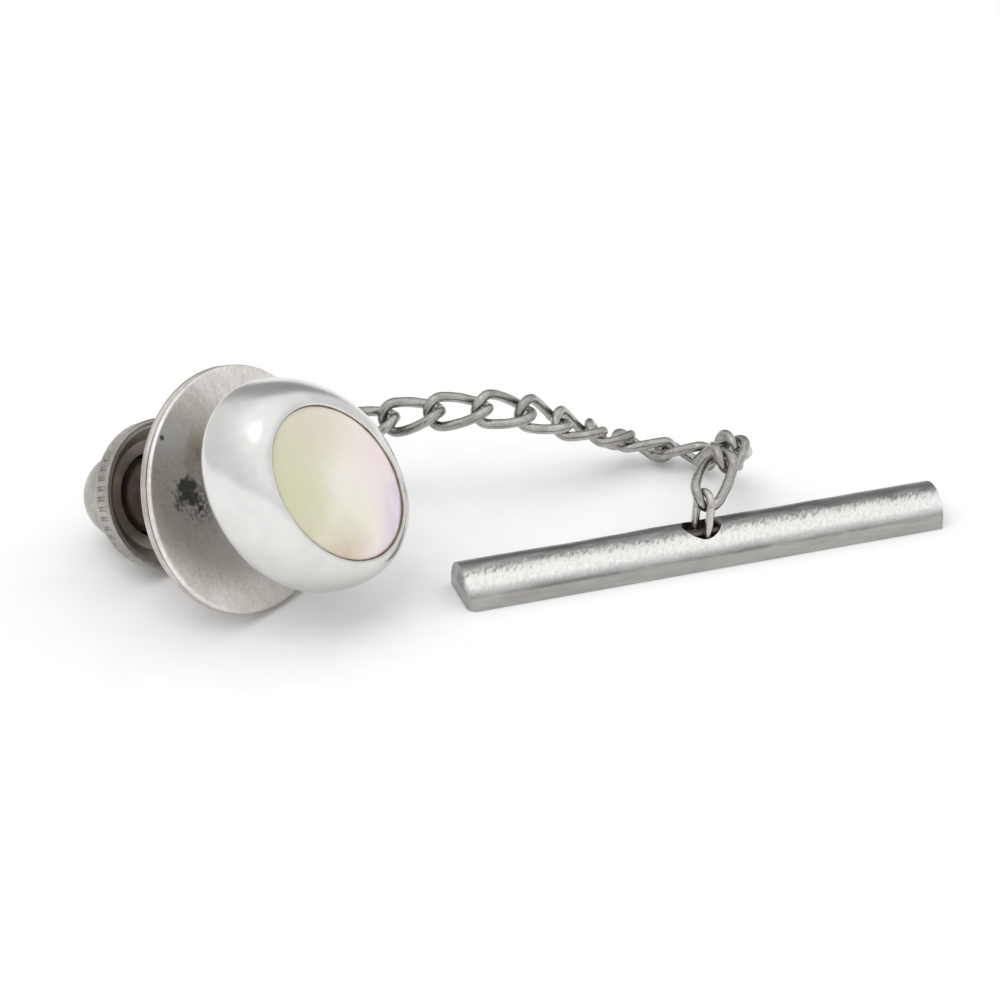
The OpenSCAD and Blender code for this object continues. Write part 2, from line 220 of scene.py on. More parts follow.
class Shader:
    """Short names for building one node material."""

    def __init__(self, name, metallic=1.0):
        self.material = bpy.data.materials.new(name)
        self.material.use_nodes = True
        self.nodes = self.material.node_tree.nodes
        self.links = self.material.node_tree.links
        self.bsdf = self.nodes["Principled BSDF"]
        self.bsdf.inputs["Metallic"].default_value = metallic
        coordinates = self.nodes.new("ShaderNodeTexCoord")
        self.place = self.map(coordinates.outputs["Object"], stretch=(1 / MM, 1 / MM, 1 / MM))

    def map(self, vector, stretch=(1, 1, 1), turn=(0, 0, 0)):
        """A place stretched, then turned by degrees about x, y and z."""
        node = self.nodes.new("ShaderNodeMapping")
        node.inputs["Scale"].default_value = stretch
        node.inputs["Rotation"].default_value = [math.radians(t) for t in turn]
        self.links.new(vector, node.inputs["Vector"])
        return node.outputs["Vector"]

    def noise(self, scale, detail=4.0, rough=0.5, warp=0.0, vector=None):
        node = self.nodes.new("ShaderNodeTexNoise")
        for key, value in (("Scale", scale), ("Detail", detail), ("Roughness", rough), ("Distortion", warp)):
            node.inputs[key].default_value = value
        self.links.new(vector or self.place, node.inputs["Vector"])
        return node.outputs["Fac"]

    def cells(self, scale, vector=None, feature="F1"):
        node = self.nodes.new("ShaderNodeTexVoronoi")
        node.feature = feature
        node.inputs["Scale"].default_value = scale
        self.links.new(vector or self.place, node.inputs["Vector"])
        return node.outputs["Distance"]

    def ramp(self, value, *stops):
        """stops are (position, colour or grey value)."""
        node = self.nodes.new("ShaderNodeValToRGB")
        elements = node.color_ramp.elements
        while len(elements) < len(stops):
            elements.new(0.5)
        for element, (position, colour) in zip(elements, stops):
            element.position = position
            element.color = (*(colour if hasattr(colour, "__len__") else (colour,) * 3), 1)
        self.links.new(value, node.inputs["Fac"])
        return node.outputs["Color"]

    def math(self, how, a, b=0.0, clamp=False):
        node = self.nodes.new("ShaderNodeMath")
        node.operation = how
        node.use_clamp = clamp
        for socket, value in zip(node.inputs, (a, b)):
            self.feed(value, socket)
        return node.outputs["Value"]

    def mix(self, factor, a, b, blend="MIX"):
        node = self.nodes.new("ShaderNodeMix")
        node.data_type = "RGBA"
        node.blend_type = blend
        self.feed(factor, node.inputs["Factor"])
        for value, socket in zip((a, b), (socket for socket in node.inputs if socket.type == "RGBA")):
            self.feed(value, socket)
        return next(socket for socket in node.outputs if socket.type == "RGBA")

    def feed(self, value, socket):
        """Links a socket, or sets it to a colour or a number."""
        if hasattr(value, "is_linked"):
            self.links.new(value, socket)
        elif hasattr(value, "__len__"):
            socket.default_value = (*value, 1)
        else:
            socket.default_value = value

    def spot(self, centre, radius, edge, warp=0.0):
        """1 inside a soft round spot about a point in millimetres, 0 outside. warp makes its edge uneven."""
        shift = self.nodes.new("ShaderNodeVectorMath")
        shift.operation = "SUBTRACT"
        self.links.new(self.place, shift.inputs[0])
        shift.inputs[1].default_value = tuple(centre)
        length = self.nodes.new("ShaderNodeVectorMath")
        length.operation = "LENGTH"
        self.links.new(shift.outputs["Vector"], length.inputs[0])
        distance = length.outputs["Value"]
        if warp:
            drift = self.math("SUBTRACT", self.noise(1.6, 5, 0.65), 0.5)
            distance = self.math("ADD", distance, self.math("MULTIPLY", drift, warp))
        return self.ramp(self.math("DIVIDE", distance, radius), (max(0, 1 - edge), 1), (1, 0))

    def along(self, direction, origin, low, high):
        """0 to 1 between two distances, in millimetres, along a direction from a point."""
        dot = self.nodes.new("ShaderNodeVectorMath")
        dot.operation = "DOT_PRODUCT"
        self.links.new(self.place, dot.inputs[0])
        dot.inputs[1].default_value = tuple(direction)
        start = float(np.dot(direction, origin)) + low
        return self.math("DIVIDE", self.math("SUBTRACT", dot.outputs["Value"], start), high - low, clamp=True)

    def bump(self, height, depth, after=None):
        """A bump on top of the bump before it. depth is in millimetres."""
        node = self.nodes.new("ShaderNodeBump")
        node.inputs["Distance"].default_value = depth * MM
        self.links.new(height, node.inputs["Height"])
        if after:
            self.links.new(after, node.inputs["Normal"])
        return node.outputs["Normal"]

    def done(self, colour, roughness, normal):
        self.feed(colour, self.bsdf.inputs["Base Color"])
        self.feed(roughness, self.bsdf.inputs["Roughness"])
        if normal:
            self.links.new(normal, self.bsdf.inputs["Normal"])
        return self.material


def polished_silver():
    """Bright silver with soft haze and hairlines, made a little greyer low down by painted shade."""
    s = Shader("polished_silver")
    haze = s.noise(0.7, 6, 0.6, 0.5)
    hairs = s.noise(3.0, 4, 0.7, vector=s.map(s.place, stretch=(1, 9, 1), turn=(20, 35, 50)))
    colour = s.ramp(haze, (0.3, (0.70, 0.70, 0.685)), (0.7, (0.80, 0.80, 0.785)))
    # painted shade: the colour turns greyer towards the bottom of the setting
    painted_shade_low = s.along((0, 0, -1), DISC, -1.5, 3.5)
    colour = s.mix(s.math("MULTIPLY", painted_shade_low, 0.55), colour, (0.53, 0.53, 0.515))
    rough = s.math("ADD", s.ramp(haze, (0.35, 0.15), (0.75, 0.24)), s.math("MULTIPLY", hairs, 0.05))
    return s.done(colour, rough, s.bump(hairs, 0.0015, s.bump(s.noise(0.5, 2, 0.4), 0.06)))


def worn_nickel(name, light, dark):
    """Old plate: mottled patches, fine pits and scratches."""
    s = Shader(name)
    patches = s.noise(0.42, 7, 0.62, 0.7)
    mottle = s.noise(2.6, 6, 0.65, 0.3)
    pits = s.cells(7.0)
    scratch = s.noise(1.4, 3, 0.8, vector=s.map(s.place, stretch=(1, 26, 1), turn=(0, 25, 70)))
    colour = s.mix(s.ramp(patches, (0.36, 0), (0.66, 1)), dark, light)
    colour = s.mix(s.ramp(mottle, (0.5, 0), (0.78, 0.45)), colour, tuple(c * 0.62 for c in dark))
    rough = s.math("ADD", s.ramp(patches, (0.3, 0.36), (0.7, 0.24)), s.math("MULTIPLY", mottle, 0.12))
    return s.done(colour, rough, s.bump(pits, 0.004, s.bump(scratch, 0.006, s.bump(mottle, 0.01))))


def on_disc(x, y):
    """A place on the disc's face, level and up from its middle."""
    return on_pin([(x, y, 0)])[0]


def disc_plate():
    """The disc's stained plate: fine grain, a dark smudge from rubbing, whitish tarnish above it, a brown
    patch, and painted shade down to the right.
    """
    s = Shader("disc_plate")
    patches = s.noise(0.38, 6, 0.6, 0.6)
    grain = s.noise(6.0, 4, 0.65, 0.2)
    fine = s.noise(16.0, 3, 0.7)
    streaks = s.noise(0.8, 4, 0.6, 0.4, vector=s.map(s.place, stretch=(1, 5, 1), turn=(0, 25, 60)))
    colour = s.mix(s.ramp(patches, (0.34, 0), (0.66, 1)), (0.74, 0.71, 0.67), (0.90, 0.88, 0.84))
    colour = s.mix(s.ramp(streaks, (0.45, 0), (0.75, 0.35)), colour, (0.50, 0.47, 0.42))
    colour = s.mix(s.ramp(grain, (0.46, 0), (0.72, 0.50)), colour, (0.47, 0.44, 0.40))
    # painted shade: the plate darkens down and to the right across the disc
    painted_shade_low_right = s.along(unit(LEVEL - 1.2 * UP), DISC, 0.5, 5.0)
    colour = s.mix(s.math("MULTIPLY", painted_shade_low_right, 0.55), colour, (0.50, 0.47, 0.43))
    tarnish = s.spot(on_disc(-2.9, 3.5), 1.2, 0.8, warp=1.5)
    colour = s.mix(s.math("MULTIPLY", tarnish, 0.75), colour, (0.84, 0.86, 0.88))
    brown = s.spot(on_disc(-1.6, 2.2), 1.1, 0.9, warp=1.4)
    colour = s.mix(s.math("MULTIPLY", brown, 0.75), colour, (0.30, 0.25, 0.20))
    smudge = s.spot(on_disc(-2.95, 1.05), 0.72, 0.40, warp=1.8)
    speckle = s.spot(on_disc(-2.5, 0.40), 0.95, 0.8, warp=1.4)
    speckle = s.math("MULTIPLY", speckle, s.ramp(grain, (0.44, 0), (0.54, 1)))
    dark = s.math("MAXIMUM", smudge, speckle)
    dark = s.math("MAXIMUM", dark, s.spot(on_disc(-3.2, 3.6), 0.13, 0.5, warp=0.2))
    colour = s.mix(s.math("MULTIPLY", dark, 0.92), colour, (0.060, 0.058, 0.055))
    rough = s.math("ADD", s.ramp(patches, (0.3, 0.34), (0.7, 0.26)), s.math("MULTIPLY", grain, 0.12))
    normal = s.bump(fine, 0.004, s.bump(grain, 0.006))
    return s.done(colour, s.math("ADD", rough, s.math("MULTIPLY", dark, 0.12)), normal)


def chain_wire(name, low, high):
    """Old drawn wire between two greys, with patches of grime."""
    s = Shader(name)
    drawn = s.noise(1.2, 5, 0.6, 0.5)
    grime = s.noise(3.2, 6, 0.7, 0.6)
    pits = s.cells(9.0)
    colour = s.mix(s.ramp(drawn, (0.35, 0), (0.7, 1)), low, high)
    colour = s.mix(s.ramp(grime, (0.52, 0), (0.75, 0.6)), colour, (0.13, 0.12, 0.11))
    rough = s.math("ADD", s.ramp(drawn, (0.3, 0.20), (0.7, 0.12)), s.math("MULTIPLY", grime, 0.1))
    return s.done(colour, rough, s.bump(pits, 0.003, s.bump(drawn, 0.02)))


def bar_plate():
    """Plate with lengthwise streaks, a painted dark reflection over the back of the crest, a painted
    highlight along its front with flecks, and painted shade on the smooth sides."""
    s = Shader("bar_plate")
    yaw = math.radians(BAR_YAW)
    lengthwise = s.map(s.place, turn=(0, 0, -BAR_YAW))
    slanted = s.map(s.place, turn=(0, 0, -BAR_YAW - 50))
    crest = s.along((0, 0, 1), (0, 0, 0), BAR_SIDE - 0.02, BAR_SIDE + 0.10)
    flecks = s.noise(7.5, 4, 0.6, 0.2, vector=s.map(slanted, stretch=(0.45, 1.15, 0.8)))
    peel = s.cells(5.0, vector=s.map(slanted, stretch=(0.6, 1.1, 0.8)), feature="SMOOTH_F1")
    streaks = s.noise(1.7, 5, 0.65, 0.5, vector=s.map(lengthwise, stretch=(0.25, 1.4, 1.4)))
    # painted highlight: a bright band high on the crest's front, with a ragged edge
    forward = s.along((math.sin(yaw), -math.cos(yaw), 0), joint_pos("bar_swing"), 0.05, 0.95)
    ragged = s.math("ADD", forward, s.math("MULTIPLY", s.math("SUBTRACT", flecks, 0.5), 1.3))
    high = s.along((0, 0, 1), (0, 0, 0), 0.66, 1.05)
    painted_highlight_band = s.math("MULTIPLY", s.ramp(ragged, (0.34, 0), (0.72, 1)), high)
    # streaks, made dark as a painted dark reflection over the back of the crest
    streaks_and_painted_dark_reflection = s.mix(s.ramp(streaks, (0.36, 0), (0.66, 1)), (0.20, 0.195, 0.19), (0.42, 0.41, 0.40))
    # the painted highlight's colour, broken by flecks
    bright = s.mix(s.ramp(flecks, (0.42, 0), (0.64, 0.45)), (0.84, 0.835, 0.82), (0.54, 0.53, 0.515))
    # painted shade: the sides are a darker copy of the plate, with streaks
    side = s.mix(s.ramp(streaks, (0.36, 0), (0.66, 1)), (0.35, 0.34, 0.33), (0.44, 0.43, 0.415))
    colour = s.mix(crest, side, s.mix(painted_highlight_band, streaks_and_painted_dark_reflection, bright))
    rough = s.math("ADD", s.ramp(streaks, (0.3, 0.30), (0.7, 0.24)), s.math("MULTIPLY", flecks, 0.10))
    skin = s.math("MULTIPLY", s.math("ADD", flecks, s.math("MULTIPLY", peel, 0.6)), crest)
    return s.done(colour, rough, s.bump(skin, 0.016, s.bump(streaks, 0.008)))


# the stone's colours from its left to its right
PEARL_STOPS = [(0.02, (0.52, 0.52, 0.36)), (0.22, (0.62, 0.61, 0.46)), (0.40, (0.74, 0.71, 0.61)),
               (0.60, (0.80, 0.75, 0.70)), (0.80, (0.81, 0.71, 0.70)), (0.98, (0.76, 0.69, 0.76))]
# clouds on the stone: place in millimetres (to the viewer's right, up), size, strength and colour
PEARL_SPOTS = [((-2.6, 0.0), 2.2, 0.45, (0.53, 0.56, 0.34)), ((0.6, -1.4), 1.6, 0.45, (0.64, 0.72, 0.50)),
               ((-1.4, 2.5), 2.4, 0.75, (0.57, 0.52, 0.43)), ((2.0, 1.4), 2.3, 0.55, (0.74, 0.62, 0.62)),
               ((3.4, -0.9), 1.9, 0.75, (0.68, 0.62, 0.76)), ((0.4, -3.0), 1.8, 0.85, (0.50, 0.40, 0.25)),
               ((-1.6, -1.8), 1.9, 0.50, (0.48, 0.46, 0.26))]


def mother_of_pearl(centre):
    """Nacre: cream and green on the left to pink and lilac on the right, under a clear gloss."""
    s = Shader("mother_of_pearl", metallic=0.0)
    right, top = unit(0.915 * LEVEL - 0.402 * UP), unit(0.439 * LEVEL + 0.899 * UP)
    drift = s.math("MULTIPLY", s.math("SUBTRACT", s.noise(0.35, 3, 0.5, 1.0), 0.5), 0.35)
    across = s.math("ADD", s.along(right, centre, -4.0, 4.0), drift)
    colour = s.ramp(across, *PEARL_STOPS)
    for (x, y), size, strength, tint in PEARL_SPOTS:
        spot = s.spot(centre + x * right + y * top, size, 0.95, warp=0.9)
        colour = s.mix(s.math("MULTIPLY", spot, strength), colour, tint)
    growth = s.noise(0.8, 2, 0.4, 0.6, vector=s.map(s.place, stretch=(1, 2.4, 1), turn=(0, 0, 30)))
    colour = s.mix(0.05, colour, s.ramp(growth, (0.3, (0.6, 0.58, 0.5)), (0.7, (1, 1, 0.96))), "OVERLAY")
    s.bsdf.inputs["Coat Weight"].default_value = 0.5
    s.bsdf.inputs["Coat Roughness"].default_value = 0.06
    s.bsdf.inputs["Subsurface Weight"].default_value = 0.12
    s.bsdf.inputs["Subsurface Radius"].default_value = (0.0012, 0.001, 0.0008)
    return s.done(colour, s.ramp(growth, (0.3, 0.24), (0.7, 0.28)), s.bump(growth, 0.001))


def setting_line():
    """The dark seam of old polish between the stone and its lip."""
    s = Shader("setting_line", metallic=0.0)
    dust = s.noise(4.0, 5, 0.7)
    return s.done(s.ramp(dust, (0.3, (0.10, 0.07, 0.045)), (0.7, (0.27, 0.20, 0.13))),
                  s.ramp(dust, (0.3, 0.55), (0.7, 0.8)), s.bump(dust, 0.01))


SILVER = polished_silver()
DISC_PLATE = disc_plate()
NICKEL = worn_nickel("worn_nickel", (0.70, 0.68, 0.64), (0.46, 0.435, 0.40))
CAP_PLATE = worn_nickel("cap_plate", (0.46, 0.44, 0.41), (0.31, 0.295, 0.27))
DARK_PLATE = worn_nickel("inner_plate", (0.46, 0.42, 0.37), (0.26, 0.23, 0.20))
# painted shade: the anchor pin's steel is near black to stand in for the shade in the bar's hole
PAINTED_SHADE_HOLE_STEEL = worn_nickel("hole_steel_painted_shade", (0.15, 0.13, 0.11), (0.07, 0.06, 0.05))
STEEL = worn_nickel("pin_steel", (0.74, 0.74, 0.74), (0.60, 0.60, 0.60))
WIRE = chain_wire("chain_wire", (0.34, 0.33, 0.315), (0.50, 0.49, 0.47))
# painted light: a lighter copy of the chain wire for the end link, standing in for the light it catches
END_WIRE_PAINTED_LIGHT = chain_wire("end_wire_painted_light", (0.50, 0.48, 0.46), (0.72, 0.70, 0.67))
BAR = bar_plate()


# ---- head ----

GIRTH, LIP, HEAD_LOW = 3.12, 5.5, 2.2
LIP_INSET, BACK_INSET, POCKET_INSET = 1.22, 0.95, 1.05
FLOOR, LEDGE = 4.3, 0.55
STONE_INSET, STONE_SIDE, STONE_RISE = 1.07, 5.12, 0.8
WOBBLE = 0.006      # how far the bezel's hand-finished waves go, as a share of its size
SEAM_R = 0.045


def build_bezel():
    """The setting's outside, its lip, the stone's pocket and the hollow under it, in one loop of rows."""
    back = [(BACK_INSET * (1 - math.cos(a)), GIRTH - (GIRTH - HEAD_LOW) * math.sin(a))
            for a in np.linspace(math.pi / 2, 0.08, 18)]
    front = [(LIP_INSET * (1 - math.cos(a)), GIRTH + (LIP - GIRTH) * math.sin(a))
             for a in np.linspace(0, math.pi / 2 * 0.97, 40)]
    inside = [(LIP_INSET + 0.01, LIP - 0.015), (LIP_INSET + 0.02, LIP - 0.06), (LIP_INSET - 0.01, LIP - 0.12),
              (POCKET_INSET, LIP - 0.22), (POCKET_INSET, FLOOR), (POCKET_INSET + LEDGE, FLOOR - 0.05),
              (POCKET_INSET + LEDGE, FLOOR - 0.35), (0.75, FLOOR - 0.7), (0.6, GIRTH),
              (BACK_INSET, HEAD_LOW + 0.4)]
    rows = back + front + inside
    points = [np.array(p) for row in rows for p in oval_row(*row)]
    points = [p * (1 + WOBBLE * noise.noise(Vector(p) * 0.55)) for p in points]
    faces = grid_faces(len(rows), OVAL_STEPS, loop_rows=True)
    add_mesh("bezel", on_pin(points, HEAD_TURN), faces, "head", SILVER, "bezel")


def build_pearl():
    """A straight-sided oval with a low dome."""
    rows = [(STONE_INSET + 0.06, FLOOR + 0.02), (STONE_INSET, FLOOR + 0.08), (STONE_INSET, STONE_SIDE)]
    points = [p for row in rows for p in oval_row(*row)]
    for a in np.radians(np.linspace(2, 88.5, 44)):
        rim = np.array(oval_row(STONE_INSET, 0)) * math.cos(a)
        points += [(x, y, STONE_SIDE + STONE_RISE * math.sin(a)) for x, y, _ in rim]
    count = len(points) // OVAL_STEPS
    faces = grid_faces(count, OVAL_STEPS) + end_caps(count, OVAL_STEPS)
    material = mother_of_pearl(DISC + PIN * (STONE_SIDE + STONE_RISE))
    add_mesh("pearl", on_pin(points, HEAD_TURN), faces, "head", material, "pearl")


def build_seam():
    """A thin uneven line of old polish where the lip meets the stone."""
    line = []
    for k in range(OVAL_STEPS):
        a = 2 * math.pi * k / OVAL_STEPS
        inset = LIP_INSET + 0.03 + 0.02 * noise.noise(Vector((math.cos(a), math.sin(a), 0)) * 3)
        line.append(((HEAD_LONG - inset) * math.cos(a), (HEAD_WIDE - inset) * math.sin(a), LIP - 0.1))
    centre = on_pin(line, HEAD_TURN)
    sweep("stone_seam", centre, SEAM_R, "head", setting_line(), lambda i: PIN, sides=8, rough=0.5)


# ---- clutch ----

DISC_R, PLATE_T, BEAD_R, NECK_R, BORE_R = 5.1, 0.22, 0.16, 1.15, 0.55
BEAD_AT = -PLATE_T - 0.08 - BEAD_R
DISH, CHAMBER_END = -1.85, -7.45
CAGE_R, CAGE_END, CAGE_SEAT, FLANGE_BACK = 0.84, -8.5, -8.1, -6.15
CAP_TEETH, TOOTH_STEPS, KNURL_DEPTH = 46, 12, 0.09


def build_front_plate():
    """A flat disc with a round edge and a hole for the pin."""
    edge = arc((DISC_R - 0.11, -0.11), 0.11, -90, 90, 9)
    face = [(r, 0.0) for r in np.linspace(4.9, 0.75, 12)]
    profile = [(0.6, -PLATE_T)] + edge + face + [(0.66, -0.01), (0.6, -0.06)]
    lathe("front_plate", profile, "clutch", DISC_PLATE, steps=240)


def bow(a, b, rise, steps=14):
    """Points of a shallow bow from a to b, raised by rise at its middle."""
    a, b = np.array(a), np.array(b)
    side = np.array([-(b - a)[1], (b - a)[0]]) / np.linalg.norm(b - a)
    return [tuple(a + (b - a) * t + side * 4 * rise * t * (1 - t)) for t in np.linspace(0, 1, steps)]


def build_back_plate():
    """A dished plate with a rolled bead round its rim."""
    wall, flange = 0.2, DISC_R - 2 * BEAD_R
    bead = arc((DISC_R - BEAD_R, BEAD_AT), BEAD_R, 150, -150, 15)
    outside = bow((flange - 0.1, BEAD_AT - 0.12), (1.7, DISH - wall), -0.3)
    inside = bow((1.7, DISH), (flange - 0.6, -PLATE_T - wall), 0.3)
    profile = ([(flange, -PLATE_T)] + bead + outside + [(NECK_R, DISH - wall), (NECK_R, DISH)]
               + inside + [(flange - 0.6, -PLATE_T)])
    lathe("back_plate", profile, "clutch", NICKEL, steps=200)


CAP_R, BAND_LOW, BAND_FRONT, BAND_BACK, SHELL_R = 3.18, 3.08, -4.98, -5.62, 2.84


def knurl(r, t, a):
    """The cap's radius with short grooves cut round its leaning band."""
    middle = (BAND_FRONT + BAND_BACK) / 2
    band = 1 - min(1, max(0, (abs(t - middle) - 0.27) / 0.05))
    if r < BAND_LOW - 0.03 or not band:
        return r
    groove = abs(((a * CAP_TEETH / 360) % 1) - 0.5) * 2
    return r - band * KNURL_DEPTH * max(0, 1 - (groove / 0.5) ** 2)


def build_cap():
    """The cap's inside from its floor out to the mouth, then back over the knurled band to the round end."""
    rim, dome_r, dome_at = 0.1, 1.9, -7.15
    inner = dome_r - 0.24
    mouth = arc((CAP_R - 0.02 - rim, -4.95), rim, 200, 0, 11)
    side = [(CAP_R - (CAP_R - BAND_LOW) * f, BAND_FRONT + (BAND_BACK - BAND_FRONT) * f)
            for f in np.linspace(0, 1, 30)]
    shoulder = [(3.06, -5.67), (3.02, -5.74), (2.88, -5.85), (2.68, -5.98), (2.38, -6.18), (2.12, -6.37),
                (1.98, -6.53), (1.92, -6.68), (1.9, -6.9)]
    dome = arc((0, dome_at), dome_r, 0, -89.4, 20)
    dome_in = arc((0, dome_at), inner, -45, 0, 8)
    profile = ([(0.02, CAGE_END), (CAGE_R, CAGE_END), (CAGE_R, CAGE_SEAT), (1.12, CAGE_SEAT), (1.12, -8.36)]
               + dome_in
               + [(1.74, -6.35), (SHELL_R - 0.22, -5.75), (SHELL_R, -5.3), (SHELL_R, -4.97)]
               + mouth + side + shoulder + dome)
    lathe("knurled_cap", profile, "plunger", CAP_PLATE, steps=CAP_TEETH * TOOTH_STEPS,
          ripple=knurl, closed=False)


def build_liner():
    """The dished washer in the cap's mouth."""
    edge = SHELL_R - 0.01
    profile = [(edge, -5.0), (edge, -5.2), (2.4, -5.62), (1.76, -5.72), (1.76, -5.56), (2.32, -5.48)]
    lathe("cap_liner", rounded(profile, 0.06), "plunger", DARK_PLATE, steps=120)


def build_barrel():
    """The neck, and the housing with the cone that the balls wedge in."""
    end, wide, chamber = CHAMBER_END - 0.25, 1.58, 1.38
    outside = [(BORE_R, DISH + 0.2), (1.6, DISH + 0.2), (1.6, DISH), (NECK_R, DISH), (NECK_R, -4.3),
               (wide, -4.4), (wide, end + 0.2), (wide - 0.12, end)]
    inside = [(1.0, end), (1.0, CHAMBER_END), (chamber, CHAMBER_END), (chamber, -5.9), (1.12, -4.65),
              (BORE_R, -4.65)]
    lathe("clutch_barrel", rounded(outside + inside, 0.04), "clutch", DARK_PLATE, steps=120)


def build_spring():
    """The lock's coil spring, which the cap squeezes against the barrel's end when it is pulled.
    It is drawn here at rest.
    """
    turns, coil_r, wire_r, travel = 4, 1.12, 0.08, 0.8
    a = np.linspace(0, 2 * math.pi * turns, 40 * turns)
    along = np.linspace(FLANGE_BACK - wire_r, CHAMBER_END + wire_r, len(a))
    coil = on_pin(np.c_[coil_r * np.cos(a), coil_r * np.sin(a), along])
    spring = sweep("clutch_spring", coil, wire_r, "clutch", STEEL, lambda i: PIN, sides=10,
                   loop=False, replaces="clutch_spring")
    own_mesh(spring)


# ---- chain ----

PITCH, WIRE_R, LINK_HALF, LINK_TURN, PLAY = 2.05, 0.22, 0.64, -50.0, 0.14
HOOK = WIRE_R + PLAY / 2
LINK_LONG = PITCH / 2 + HOOK
RING_R, RING_OFF = 1.75, 0.32
END_LONG, END_HALF, END_WIRE_R = 1.19, 0.5, 0.18
LINKS = 17
LINK_STEPS = 120
RING_STEPS = 140


def outline(u, half_l, half):
    """A point u of the way round a link: straight sides and round ends."""
    side, tip = 2 * (half_l - half), math.pi * half
    s = (u % 1) * 2 * (side + tip)
    if s < side:
        return s - side / 2, half
    if s < side + tip:
        a = (s - side) / half
        return side / 2 + half * math.sin(a), half * math.cos(a)
    if s < 2 * side + tip:
        return side / 2 - (s - side - tip), -half
    a = (s - 2 * side - tip) / half
    return -side / 2 - half * math.sin(a), -half * math.cos(a)


def link_line(half_l, half, turn):
    """The link's centre line and, at each point, the direction of its twisted flat."""
    line, flats = [], []
    for k in range(LINK_STEPS):
        x, y = outline(k / LINK_STEPS, half_l, half)
        a = math.radians(turn * x / half_l)
        line.append((x, -y * math.sin(a), y * math.cos(a)))
        flats.append((0, math.cos(a), math.sin(a)))
    return np.array(line), np.array(flats)


def link_frames():
    """Middle and axes of the sixteen curb links, from the hinges the record states."""
    start = joint_pos("link_01_hinge") - HOOK * LEVEL
    frames = []
    for i in range(1, LINKS):
        hinge = "link_%02d_hinge" % (i + 1)
        way = unit(joint_pos(hinge) - start)
        tip = joint_axis(hinge)
        lean = Matrix.Rotation(math.radians(-LINK_TURN), 3, Vector(way))
        up = unit(np.array(lean @ Vector(tip)))
        frames.append((start + way * PITCH / 2, np.array([way, np.cross(up, way), up])))
        start = start + PITCH * way
    return frames


def node_axes(node):
    """Middle and longest, shortest and middle directions of a flat CAD node."""
    co = np.array([v.co for v in frame["nodes"][node].data.vertices]) / MM
    centre = co.mean(0)
    _, _, rows = np.linalg.svd(co - centre, full_matrices=False)
    span = [(co - centre) @ r for r in rows]
    centre = centre + sum(r * (s.max() + s.min()) / 2 for r, s in zip(rows, span))
    return centre, np.array([rows[0], rows[2], rows[1]])


def build_chain():
    """The ring, the sixteen curb links and the plain end link."""
    a = np.linspace(0, 2 * math.pi, RING_STEPS, endpoint=False)
    ring = on_pin(np.c_[RING_OFF + RING_R * np.cos(a), RING_R * np.sin(a), np.full(RING_STEPS, -RING_DEPTH)])
    sweep("chain_ring", ring, WIRE_R, "swivel_ring", WIRE, lambda i: PIN, rough=0.03,
          replaces="chain_ring")
    line, flats = link_line(LINK_LONG, LINK_HALF, LINK_TURN)
    for i, (centre, axes) in enumerate(link_frames()):
        name = "link_%02d" % (i + 1)
        turned = flats @ axes
        sweep(name, centre + line @ axes, WIRE_R, name, WIRE, lambda k: turned[k], rough=0.05,
              replaces=name)
    centre, axes = node_axes("link_17")
    line, _ = link_line(END_LONG, END_HALF, 0)
    sweep("link_17", centre + line @ axes, END_WIRE_R, "link_17", END_WIRE_PAINTED_LIGHT, lambda k: axes[1],
          rough=0.04, replaces="link_17")


# ---- bar ----

BAR_LENGTH_STEPS, BAR_ROUND_STEPS, ROOM_STEPS, HOLE_STEPS = 420, 75, 25, 72


def bar_place(points):
    """Points as distance along the bar from its hole, across it, and up."""
    hole = joint_pos("bar_swing")
    c, s = math.cos(math.radians(BAR_YAW)), math.sin(math.radians(BAR_YAW))
    p = np.asarray(points, float)
    return np.c_[hole[0] + p[:, 0] * c - p[:, 1] * s, hole[1] + p[:, 0] * s + p[:, 1] * c, p[:, 2]]


def loaf(f, wall):
    """A point of the bar's section, f of the way over it from the back edge to the front."""
    w, rise = BAR_W / 2 - wall, BAR_H - BAR_SIDE - wall
    side = 0.12
    if f < side:
        return w, BAR_SIDE * f / side
    if f > 1 - side:
        return -w, BAR_SIDE * (1 - f) / side
    a = SHOULDER + (math.pi - 2 * SHOULDER) * (f - side) / (1 - 2 * side)
    low = math.sin(SHOULDER)
    return w * math.cos(a) / math.cos(SHOULDER), BAR_SIDE + rise * (math.sin(a) - low) / (1 - low)


BAR_X0, BAR_X1 = -BAR_L / 2 + HOLE_SHIFT, BAR_L / 2 + HOLE_SHIFT


def build_bar():
    """The loaf-shaped shell as one closed skin, with its front corner, its room and its hole cut away."""
    points = []
    for x in np.linspace(BAR_X0, BAR_X1, BAR_LENGTH_STEPS + 1):
        for k in range(BAR_ROUND_STEPS + 1):
            y, z = loaf(k / BAR_ROUND_STEPS, 0)
            points.append(hand_worn(x, y, z))
    rows, columns = BAR_LENGTH_STEPS + 1, BAR_ROUND_STEPS + 1
    faces = flipped(grid_faces(rows, columns, loop_columns=False) + end_caps(rows, columns))
    back_edge = [i * columns for i in range(rows)]
    front_edge = [i * columns + columns - 1 for i in range(rows - 1, -1, -1)]
    faces.append(tuple(back_edge + front_edge))
    bar = add_mesh("bar_shell", bar_place(points), faces, "bar", BAR, "bar_shell")
    for shape in (room_shape(), hole_shape(), corner_shape()):
        cut_away(bar, *shape)
    bar.data.shade_smooth()
    bar.data.set_sharp_from_angle(angle=math.radians(SHARP_DEGREES))


